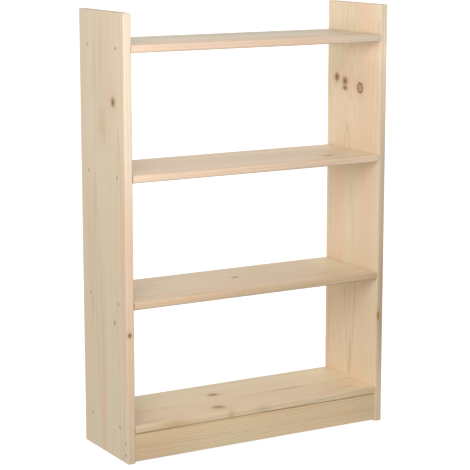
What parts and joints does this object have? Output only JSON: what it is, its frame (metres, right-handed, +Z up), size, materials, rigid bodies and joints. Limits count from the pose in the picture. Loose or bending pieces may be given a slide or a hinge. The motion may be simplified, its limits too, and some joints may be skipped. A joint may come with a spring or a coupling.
{
  "type": "bookcase with adjustable shelves",
  "caption": "Open pine bookcase: solid side boards, a screwed top and bottom shelf, peg-hung shelves between them that slide out forwards, and a plinth board at the foot.",
  "frame": {"origin": "on the floor, under the middle of the bookcase", "axes": "+X across the front to the right as seen from the room, +Y from the front to the back, +Z up"},
  "size_m": [0.8, 0.26, 1.17],
  "materials": {
    "pine": "bare planed softwood, matt",
    "zinc_steel": "dull plated steel screw heads and pegs"
  },
  "bodies": {
    "case": {"side_left": "pine", "side_right": "pine", "shelf_bottom": "pine", "shelf_top": "pine", "plinth_front": "pine", "peg_lower_left_front": "zinc_steel", "peg_lower_left_rear": "zinc_steel", "peg_lower_right_front": "zinc_steel", "peg_lower_right_rear": "zinc_steel", "peg_upper_left_front": "zinc_steel", "peg_upper_left_rear": "zinc_steel", "peg_upper_right_front": "zinc_steel", "peg_upper_right_rear": "zinc_steel", "screw_bottom_shelf_left_front": "zinc_steel", "screw_bottom_shelf_left_rear": "zinc_steel", "screw_bottom_shelf_right_front": "zinc_steel", "screw_bottom_shelf_right_rear": "zinc_steel", "screw_plinth_left_high": "zinc_steel", "screw_plinth_left_low": "zinc_steel", "screw_plinth_right_high": "zinc_steel", "screw_plinth_right_low": "zinc_steel", "screw_top_shelf_left_front": "zinc_steel", "screw_top_shelf_left_rear": "zinc_steel", "screw_top_shelf_right_front": "zinc_steel", "screw_top_shelf_right_rear": "zinc_steel"},
    "upper_shelf": {"shelf_upper": "pine"},
    "lower_shelf": {"shelf_lower": "pine"}
  },
  "joints": [
    {"name": "upper_shelf_slide", "type": "slide", "parent": "case", "child": "upper_shelf", "axis": [0, -1, 0], "range_m": [0, 0.275]},
    {"name": "lower_shelf_slide", "type": "slide", "parent": "case", "child": "lower_shelf", "axis": [0, -1, 0], "range_m": [0, 0.275]}
  ]
}
